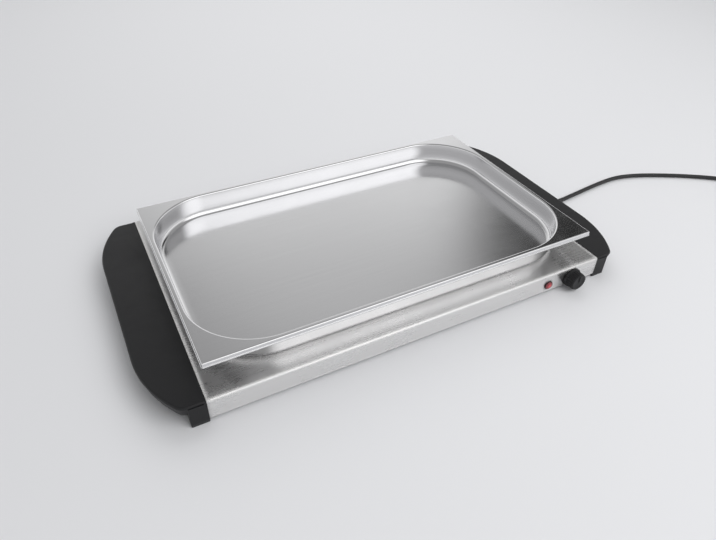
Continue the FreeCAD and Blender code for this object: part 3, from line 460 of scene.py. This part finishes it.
# %% A rounded rectangle as a ring of points
CORNER_POINTS = 24
SIDE_POINTS = 14
SMALLEST_RADIUS = 1e-5


def rounded_ring(half_x, half_y, radius, z):
    """Points round a rectangle with rounded corners, the same number for any size."""
    radius = max(min(radius, half_x, half_y), SMALLEST_RADIUS)
    ring = []
    corners = [(1, 1, 0), (-1, 1, 90), (-1, -1, 180), (1, -1, 270)]
    for index, (x_side, y_side, first) in enumerate(corners):
        centre = Vector((x_side * (half_x - radius), y_side * (half_y - radius), z))
        for step in range(CORNER_POINTS + 1):
            angle = math.radians(first + 90 * step / CORNER_POINTS)
            ring.append(centre + radius * Vector((math.cos(angle), math.sin(angle), 0)))
        x_next, y_next, first_next = corners[(index + 1) % 4]
        next_centre = Vector((x_next * (half_x - radius), y_next * (half_y - radius), z))
        angle = math.radians(first_next)
        target = next_centre + radius * Vector((math.cos(angle), math.sin(angle), 0))
        start = ring[-1]
        for step in range(1, SIDE_POINTS):
            ring.append(start.lerp(target, step / SIDE_POINTS))
    return ring


def loft(name, rings, offset=Vector((0, 0, 0))):
    """Quads between rings; each end is closed with a face."""
    mesh = bmesh.new()
    loops = [[mesh.verts.new(point + offset) for point in ring] for ring in rings]
    count = len(loops[0])
    for lower, upper in zip(loops, loops[1:]):
        for index in range(count):
            following = (index + 1) % count
            mesh.faces.new((lower[index], lower[following], upper[following], upper[index]))
    mesh.faces.new(reversed(loops[0]))
    mesh.faces.new(loops[-1])
    bmesh.ops.recalc_face_normals(mesh, faces=mesh.faces)
    for face in mesh.faces:
        face.smooth = True
    data = bpy.data.meshes.new(name)
    mesh.to_mesh(data)
    mesh.free()
    piece = bpy.data.objects.new(name, data)
    bpy.context.scene.collection.objects.link(piece)
    return piece


# %% The pan's section, from the middle of the floor out to the hem
MM = 0.001
pan_low, pan_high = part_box("food_pan")
PAN_MIDDLE = (pan_low + pan_high) / 2
PAN_HALF_X = (pan_high.x - pan_low.x) / 2
PAN_HALF_Y = (pan_high.y - pan_low.y) / 2
PAN_BOTTOM, PAN_TOP = pan_low.z, pan_high.z
FLANGE = 6.5 * MM
SHEET = 0.8 * MM
BOWL_CORNER = 86 * MM
DRAW_RADIUS = 2.4 * MM
FOLD_RADIUS = 1.7 * MM
FLOOR_RADIUS = 8.2 * MM
EDGE_CORNER = 1.2 * MM
LIP = 6.5 * MM
HEM = 1.8 * MM
HEM_STEP = 0.7 * MM
HEM_ROUND = HEM_STEP * 0.9
BEND_STEPS, FOLD_STEPS, HEM_STEPS = 8, 6, 4
FLOOR_INSETS = (140 * MM, 90 * MM, 45 * MM)
FLOOR_MARGIN = 6 * MM
FLOOR_CORNER = 12 * MM
WALL_SHARES = (0.35, 0.7)


def bend(radius, first, last, centre, steps=BEND_STEPS):
    """Points of a bend in the section, from one angle to another about a centre."""
    angles = [math.radians(first + (last - first) * step / steps) for step in range(steps + 1)]
    return [(centre[0] + radius * math.cos(angle), centre[1] + radius * math.sin(angle))
            for angle in angles]


def pan_section():
    """(inset from the pan's outer edge, height, corner radius) along the pan's upper side."""
    wall_in = FLANGE + SHEET
    top, floor = PAN_TOP, PAN_BOTTOM + SHEET
    section = []
    for inset in (*FLOOR_INSETS, wall_in + FLOOR_RADIUS + FLOOR_MARGIN):
        section.append((inset, floor, max(BOWL_CORNER + FLANGE - inset, FLOOR_CORNER)))
    for inset, z in bend(FLOOR_RADIUS, 270, 180, (wall_in + FLOOR_RADIUS, floor + FLOOR_RADIUS)):
        section.append((inset, z, BOWL_CORNER + FLANGE - inset))
    for share in WALL_SHARES:
        z = floor + FLOOR_RADIUS + share * (top - DRAW_RADIUS - floor - FLOOR_RADIUS)
        section.append((wall_in, z, BOWL_CORNER + FLANGE - wall_in))
    for inset, z in bend(DRAW_RADIUS, 0, 90, (wall_in - DRAW_RADIUS, top - DRAW_RADIUS)):
        section.append((inset, z, BOWL_CORNER + FLANGE - inset))
    section.append((wall_in - DRAW_RADIUS - 0.5 * MM, top, BOWL_CORNER + DRAW_RADIUS))
    section.append((HEM_STEP + FOLD_RADIUS + 0.4 * MM, top, EDGE_CORNER * 0.3))
    for inset, z in bend(FOLD_RADIUS, 90, 180, (HEM_STEP + FOLD_RADIUS, top - FOLD_RADIUS),
                         FOLD_STEPS):
        section.append((inset, z, EDGE_CORNER - (inset - HEM_STEP)))
    hem_top, hem_bottom = top - LIP + HEM, top - LIP
    section.append((HEM_STEP, hem_top + 0.3 * MM, EDGE_CORNER))
    for first, height in ((90, hem_top - HEM_ROUND), (180, hem_bottom + HEM_ROUND)):
        for inset, z in bend(HEM_ROUND, first, first + 90, (HEM_ROUND, height), HEM_STEPS):
            section.append((inset, z, EDGE_CORNER + HEM_STEP - inset))
    return section


def pan_underside():
    """The same sheet seen from below, from the hem back to the middle of the floor."""
    top, floor = PAN_TOP - SHEET, PAN_BOTTOM
    inner = HEM_STEP + SHEET
    section = [(inner, PAN_TOP - LIP, EDGE_CORNER), (inner, top - 0.4 * MM, EDGE_CORNER * 0.5),
               (inner + 0.4 * MM, top, EDGE_CORNER * 0.5)]
    under_draw = DRAW_RADIUS - SHEET
    outer_floor = FLOOR_RADIUS + SHEET
    for inset, z in reversed(bend(under_draw, 0, 90, (FLANGE - under_draw, top - under_draw))):
        section.append((inset, z, BOWL_CORNER + FLANGE - inset))
    for inset, z in reversed(bend(outer_floor, 270, 180,
                                  (FLANGE + outer_floor, floor + outer_floor))):
        section.append((inset, z, BOWL_CORNER + FLANGE - inset))
    for inset in (FLANGE + outer_floor + FLOOR_MARGIN, *reversed(FLOOR_INSETS)):
        section.append((inset, floor, max(BOWL_CORNER + FLANGE - inset, FLOOR_CORNER)))
    return section


# %% Loft the pan
pan_rings = [rounded_ring(PAN_HALF_X - inset, PAN_HALF_Y - inset, radius, z)
             for inset, z, radius in pan_section() + pan_underside()]
serving_pan = loft("serving_pan", pan_rings, Vector((PAN_MIDDLE.x, PAN_MIDDLE.y, 0)))
pan_steel = metal("pan_steel", (0.74, 0.74, 0.75), 0.14, along=5.0, across=700.0, marks=0.05)
wear_finish(serving_pan, pan_steel)
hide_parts("food_pan")
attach(serving_pan, "pan")
print("pan rings:", len(pan_rings), "faces:", len(serving_pan.data.polygons))

# %% [markdown]
# ## The control knob
# A moulded knob: a thin skirt, a grip with 24 shallow scallops for the fingers, a face that is
# dished a little, and a raised rib as its pointer. Like a turned part it is one profile swept about
# its axis, only that each ring's radius dips at the scallops, so it is lofted from rings as the pan
# is. A row of the profile is the distance from the knob's back, the radius and the scallops' share.


# %% The knob's rings
SCALLOPS = 24
POINTS_PER_SCALLOP = 10
knob_low, knob_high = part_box("control_knob")
KNOB_AXIS = (knob_low + knob_high) / 2
KNOB_RADIUS = (knob_high.x - knob_low.x) / 2
KNOB_BACK, KNOB_FRONT = knob_high.y, knob_low.y
GRIP_RADIUS = KNOB_RADIUS - 1.3 * MM
SCALLOP_DEPTH = 0.7 * MM


def knob_ring(out, radius, scallop):
    """A ring about the knob's axis, so far out from its back; scallops dip into it."""
    ring = []
    for index in range(SCALLOPS * POINTS_PER_SCALLOP):
        angle = 2 * math.pi * index / (SCALLOPS * POINTS_PER_SCALLOP)
        dip = (0.5 + 0.5 * math.cos(SCALLOPS * angle)) ** 3
        here = radius - scallop * SCALLOP_DEPTH * dip
        ring.append(Vector((KNOB_AXIS.x + here * math.cos(angle), KNOB_BACK - out,
                            KNOB_AXIS.z + here * math.sin(angle))))
    return ring


knob_face = KNOB_BACK - KNOB_FRONT - 0.6 * MM
knob_profile = [
    (0.0, KNOB_RADIUS, 0.0),
    (2.3 * MM, KNOB_RADIUS, 0.0),
    (2.8 * MM, KNOB_RADIUS - 0.25 * MM, 0.0),
    (3.0 * MM, KNOB_RADIUS - 0.7 * MM, 0.0),
    (3.05 * MM, GRIP_RADIUS + 0.3 * MM, 0.0),
    (3.4 * MM, GRIP_RADIUS, 0.6),
    (4.0 * MM, GRIP_RADIUS, 1.0),
    (knob_face - 1.8 * MM, GRIP_RADIUS - 0.2 * MM, 1.0),
    (knob_face - 0.9 * MM, GRIP_RADIUS - 0.5 * MM, 0.8),
    (knob_face - 0.3 * MM, GRIP_RADIUS - 1.1 * MM, 0.4),
    (knob_face, GRIP_RADIUS - 1.9 * MM, 0.1),
    (knob_face, GRIP_RADIUS - 2.6 * MM, 0.0),
    (knob_face - 0.25 * MM, GRIP_RADIUS - 3.2 * MM, 0.0),
    (knob_face - 0.3 * MM, 3.0 * MM, 0.0),
]
knob_body = loft("knob_body", [knob_ring(*step) for step in knob_profile])
print("knob faces:", len(knob_body.data.polygons))

# %% The pointer rib
POINTER_WIDTH = 1.8 * MM
POINTER_START = 1.0 * MM
POINTER_END = GRIP_RADIUS - 2.0 * MM
POINTER_END_STEPS = 8


def pointer_outline(width, low, high, y):
    """A slim outline with a rounded outer end, in the plane of the knob's face."""
    half = width / 2
    outline = [Vector((KNOB_AXIS.x - half, y, KNOB_AXIS.z + low)),
               Vector((KNOB_AXIS.x + half, y, KNOB_AXIS.z + low))]
    for step in range(POINTER_END_STEPS + 1):
        angle = math.pi * step / POINTER_END_STEPS
        outline.append(Vector((KNOB_AXIS.x + half * math.cos(angle), y,
                               KNOB_AXIS.z + high - half + half * math.sin(angle))))
    return outline


pointer_rings = [
    pointer_outline(POINTER_WIDTH, POINTER_START, POINTER_END, KNOB_FRONT + 1.2 * MM),
    pointer_outline(POINTER_WIDTH, POINTER_START, POINTER_END, KNOB_FRONT + 0.25 * MM),
    pointer_outline(0.7 * POINTER_WIDTH, 1.3 * MM, GRIP_RADIUS - 2.25 * MM, KNOB_FRONT),
]
knob_pointer = loft("knob_pointer", pointer_rings)
for piece in (knob_body, knob_pointer):
    wear_finish(piece, cap_plastic)
    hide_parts("control_knob")
    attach(piece, "knob")

# %% [markdown]
# ## The plug
# The plug's body is moulded straight on to the cord. Its boot is slotted so that it bends with the
# cord, and its sides are ribbed for the fingers. It is one more loft: each ring is a superellipse,
# which turns from a circle at the cord into a rounded square at the face with the same number of
# points. A row of the profile is, in millimetres, the distance along the plug, half the width and
# half the height, and then the squareness.

# %% The plug's place and rings
PLUG_POINTS = 64
plug_start = from_relief(TAIL_STEPS[-1])
plug_axis = (plug_start - from_relief(TAIL_STEPS[-2])).normalized()
plug_side = Vector((0, 0, 1)).cross(plug_axis)


def plug_ring(along, half_width, half_height, squareness):
    """A ring across the plug; squareness is 2 for a circle, and more for a squarer shape."""
    ring = []
    for index in range(PLUG_POINTS):
        angle = 2 * math.pi * (index + 0.5) / PLUG_POINTS
        cosine, sine = math.cos(angle), math.sin(angle)
        across = half_width * math.copysign(abs(cosine) ** (2 / squareness), cosine)
        rise = half_height * math.copysign(abs(sine) ** (2 / squareness), sine)
        ring.append(plug_start + MM * (along * plug_axis + across * plug_side
                                       + Vector((0, 0, rise))))
    return ring


# %% The plug's boot and body
BOOT_SLOTS = [3.0, 7.2, 11.4]
BOOT_RADIUS = 4.4
BOOT_FLARE = 0.21
FINGER_RIBS = [25.5, 28.7, 31.9, 35.1]
BODY_HALF = 12.0
CIRCLE, SQUARE = 2.0, 6.5
SHARP_ANGLE = math.radians(38)

plug_profile = [(0.0, 3.8, 3.8, CIRCLE), (0.5, BOOT_RADIUS, BOOT_RADIUS, CIRCLE)]
for slot_start in BOOT_SLOTS:
    outside = BOOT_RADIUS + BOOT_FLARE * slot_start
    for along, radius in ((0.0, outside), (0.3, outside - 0.8), (1.5, outside - 0.6),
                          (1.8, outside + 0.4)):
        plug_profile.append((slot_start + along, radius, radius, CIRCLE))
plug_profile += [
    (16.0, 8.0, 8.0, 2.1),
    (17.5, 9.2, 9.2, 2.5),
    (19.0, 10.8, 10.8, 3.4),
    (20.5, 11.6, 11.6, 4.6),
    (22.0, 11.9, 11.9, 5.6),
    (24.0, BODY_HALF, BODY_HALF, SQUARE),
]
for rib_start in FINGER_RIBS:
    for along, half_width in ((0.0, 11.1), (0.5, 11.6), (1.6, 11.6), (2.1, 11.1)):
        plug_profile.append((rib_start + along, half_width, BODY_HALF, SQUARE))
plug_profile += [
    (38.6, 11.3, BODY_HALF, SQUARE),
    (40.0, BODY_HALF, BODY_HALF, SQUARE),
    (43.0, BODY_HALF, BODY_HALF, SQUARE),
    (43.7, 11.8, 11.8, SQUARE),
    (44.0, 11.3, 11.3, SQUARE),
]
plug_shell = loft("plug_shell", [plug_ring(*step) for step in plug_profile])
plug_shell.data.set_sharp_from_angle(angle=SHARP_ANGLE)
wear_finish(plug_shell, cap_plastic)
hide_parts("plug_body")
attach(plug_shell, "tray")
print("plug faces:", len(plug_shell.data.polygons))

# %% [markdown]
# ## The pilot lamp
# A small red cap with a glow lamp behind it. Lit, it is brighter in the middle than at its rim, so
# the glow is a mask that falls off from the middle of the cap's face.


# %% The lamp's cap and bulb
def glowing_lens(name, colour, glow, strength, middle, reach):
    material, tree, shader = start_material(name)
    place = node(tree, "ShaderNodeTexCoord").outputs["Object"]
    away = node(tree, "ShaderNodeVectorMath", {0: place, 1: middle},
                operation="DISTANCE").outputs["Value"]
    lit = between(tree, away, reach, 0.0)
    tree.links.new(mix_colours(tree, lit, colour, glow), shader.inputs["Base Color"])
    tree.links.new(mix_colours(tree, lit, (0.02, 0.0, 0.0), glow), shader.inputs["Emission Color"])
    shader.inputs["Emission Strength"].default_value = strength
    shader.inputs["Roughness"].default_value = 0.15
    shader.inputs["Coat Weight"].default_value = 0.6
    return material


LENS_REACH, BULB_REACH = 0.0048, 0.02
lens_low, lens_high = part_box("pilot_lens")
lens_middle = (lens_low + lens_high) / 2
lens_middle.y = lens_low.y
red_lens = glowing_lens("red_lens", (0.16, 0.008, 0.014), (0.62, 0.07, 0.08), 0.16, lens_middle,
                        LENS_REACH)
bulb_glow = glowing_lens("bulb_glow", (0.8, 0.3, 0.1), (1.0, 0.4, 0.15), 2.0, lens_middle,
                         BULB_REACH)
wear_finish(cad_nodes["pilot_lens"], red_lens)
wear_finish(cad_nodes["pilot_bulb"], bulb_glow)
print("lit pieces: pilot_lens, pilot_bulb")

# %% [markdown]
# ## Floor and light
# A plain pale floor, one broad soft lamp high over the right rear, and a smaller, stronger one over
# the front right. Both are wide for their distance, so the shadows stay soft.

# %% The floor
FLOOR_REACH = 6.0
floor_mesh = bpy.data.meshes.new("floor")
floor_mesh.from_pydata([(x, y, 0) for x, y in ((-1, -1), (1, -1), (1, 1), (-1, 1))], [],
                       [(0, 1, 2, 3)])
floor_mesh.transform(Matrix.Scale(FLOOR_REACH, 4))
floor = bpy.data.objects.new("floor", floor_mesh)
bpy.context.scene.collection.objects.link(floor)
floor_paint, _, floor_shader = start_material("floor_paint")
floor_shader.inputs["Base Color"].default_value = (0.76, 0.765, 0.785, 1)
floor_shader.inputs["Roughness"].default_value = 0.6
wear_finish(floor, floor_paint)


# %% The lamps
LAMP_AIM = Vector((0, 0, 0.05))


def soft_lamp(name, place, size, power):
    """A rectangular area lamp at a place, turned to the tray; the steel doesn't reflect it."""
    light = bpy.data.lights.new(name, "AREA")
    light.shape = "RECTANGLE"
    light.size, light.size_y = size
    light.energy = power
    lamp = bpy.data.objects.new(name, light)
    lamp.location = place
    lamp.rotation_euler = (LAMP_AIM - Vector(place)).to_track_quat("-Z", "Y").to_euler()
    lamp.visible_glossy = False
    bpy.context.scene.collection.objects.link(lamp)
    print(name, power, "W")


soft_lamp("overhead_lamp", (0.66, 1.36, 1.58), size=(2.4, 1.8), power=16)
soft_lamp("front_lamp", (0.70, -1.40, 1.56), size=(1.6, 1.4), power=23)

# %% [markdown]
# Polished steel is only as good as what stands round it, and in an all-white room it looks like
# white plastic. So the room that the camera and the steel see is pale near the horizon and greyer
# overhead. A soft glow stands behind the tray, a bright softbox over its front, and a dark card
# behind its right end. Each is a heading, the cosines at which it starts and is full, and its
# strength. All other rays see one even grey, so these patches don't light the floor.


# %% What the steel reflects
GLOW = ((0.36, 0.78, 0.50), 0.93, 0.995, 0.25)
DARK_CARD = ((0.70, 0.50, 0.52), 0.966, 0.997, -0.95)
SOFTBOX = ((0.34, -0.62, 0.70), 0.87, 0.975, 1.3)
HORIZON, OVERHEAD = 0.30, 0.62
OVERHEAD_GREY = 0.38
WORLD_LIGHT = 0.50


def patch(tree, direction, heading, start, full, strength):
    """A soft-edged patch of the room round a heading."""
    along = node(tree, "ShaderNodeVectorMath", {0: direction, 1: Vector(heading).normalized()},
                 operation="DOT_PRODUCT").outputs["Value"]
    mask = node(tree, "ShaderNodeMapRange", {"Value": along, "From Min": start, "From Max": full},
                interpolation_type="SMOOTHSTEP").outputs[0]
    return multiply(tree, mask, strength)


# %% The world
world = bpy.data.worlds.new("studio")
bpy.context.scene.world = world
world.use_nodes = True
sky = world.node_tree
background = sky.nodes["Background"]
rays = node(sky, "ShaderNodeLightPath")
shown = node(sky, "ShaderNodeMath", {0: rays.outputs["Is Camera Ray"],
                                     1: rays.outputs["Is Glossy Ray"]}, operation="MAXIMUM")
shown = node(sky, "ShaderNodeMath", {0: shown.outputs[0], 1: rays.outputs["Is Transmission Ray"]},
             operation="MAXIMUM")
direction = node(sky, "ShaderNodeTexCoord").outputs["Generated"]
rise = node(sky, "ShaderNodeSeparateXYZ", {"Vector": direction}).outputs["Z"]
pale = between(sky, rise, HORIZON, OVERHEAD, 1.0, OVERHEAD_GREY)
glow, card, softbox = (patch(sky, direction, *shape) for shape in (GLOW, DARK_CARD, SOFTBOX))
room = add(sky, multiply(sky, add(sky, pale, glow), add(sky, card, 1.0)), softbox)
seen = multiply(sky, shown.outputs[0], add(sky, room, -WORLD_LIGHT))
sky.links.new(add(sky, seen, WORLD_LIGHT), background.inputs["Strength"])
background.inputs["Color"].default_value = (1, 1, 1, 1)
bpy.context.scene.view_settings.view_transform = "Standard"
print("world nodes:", len(sky.nodes))
